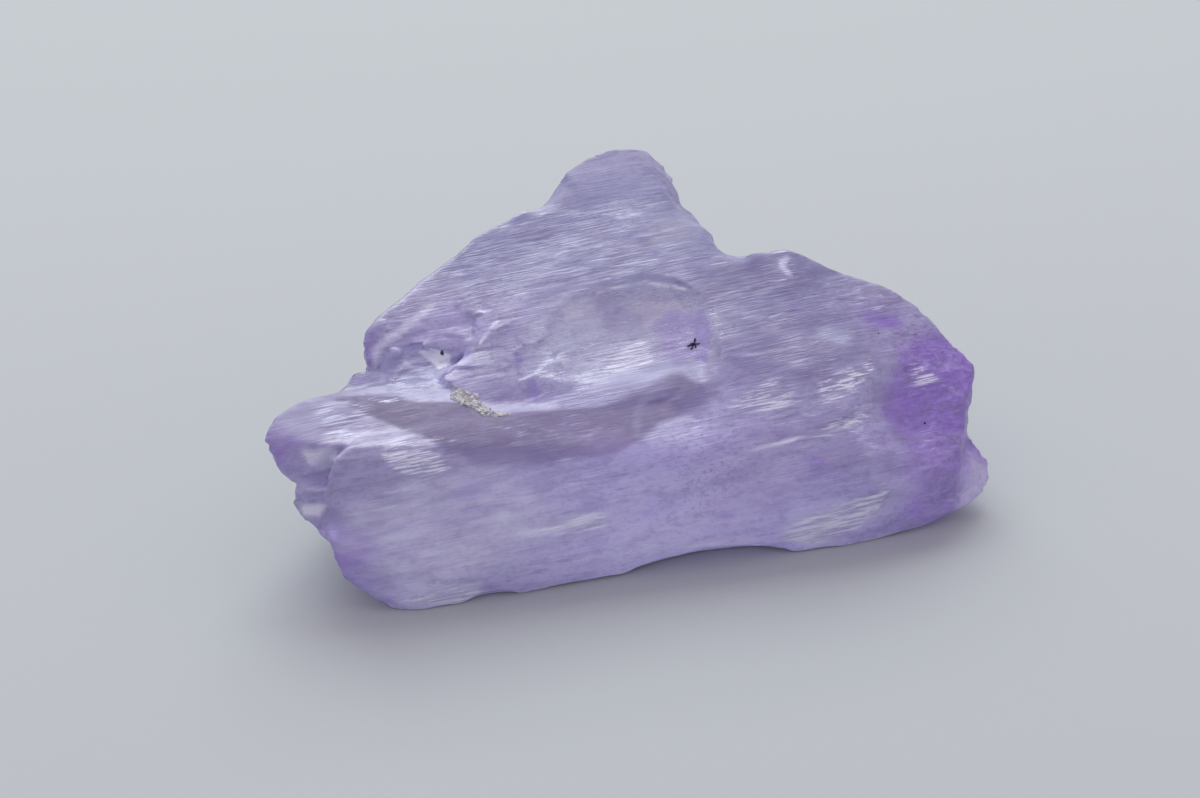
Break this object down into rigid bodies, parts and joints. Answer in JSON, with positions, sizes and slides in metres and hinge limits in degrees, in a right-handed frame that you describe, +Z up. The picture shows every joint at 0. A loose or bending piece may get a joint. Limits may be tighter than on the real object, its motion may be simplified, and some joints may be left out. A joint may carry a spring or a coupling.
{
  "type": "kunzite crystal",
  "caption": "Rough lilac kunzite (spodumene) crystal: a long stepped splinter with a blunt tooth on its crest, a shell-shaped chip and worn ends, lying flat.",
  "frame": {"origin": "on the table, under the middle of the crystal's box", "axes": "+X along the crystal's length (its c-axis, the way the growth lines run), towards the deep violet end; +Y from the stepped front to the back; +Z up from the cleavage face it lies on"},
  "size_m": [0.0376, 0.0204, 0.0159],
  "materials": {
    "kunzite": "translucent lilac, frosted by etching, silky growth lines and bright cleavage flaws along its length, deeper violet at both ends",
    "pocket_clay": "dull cream-white crumbs of hardened clay and feldspar",
    "dark_specks": "dull black mineral specks"
  },
  "bodies": {
    "root": {"kunzite_crystal": "kunzite"}
  },
  "joints": []
}
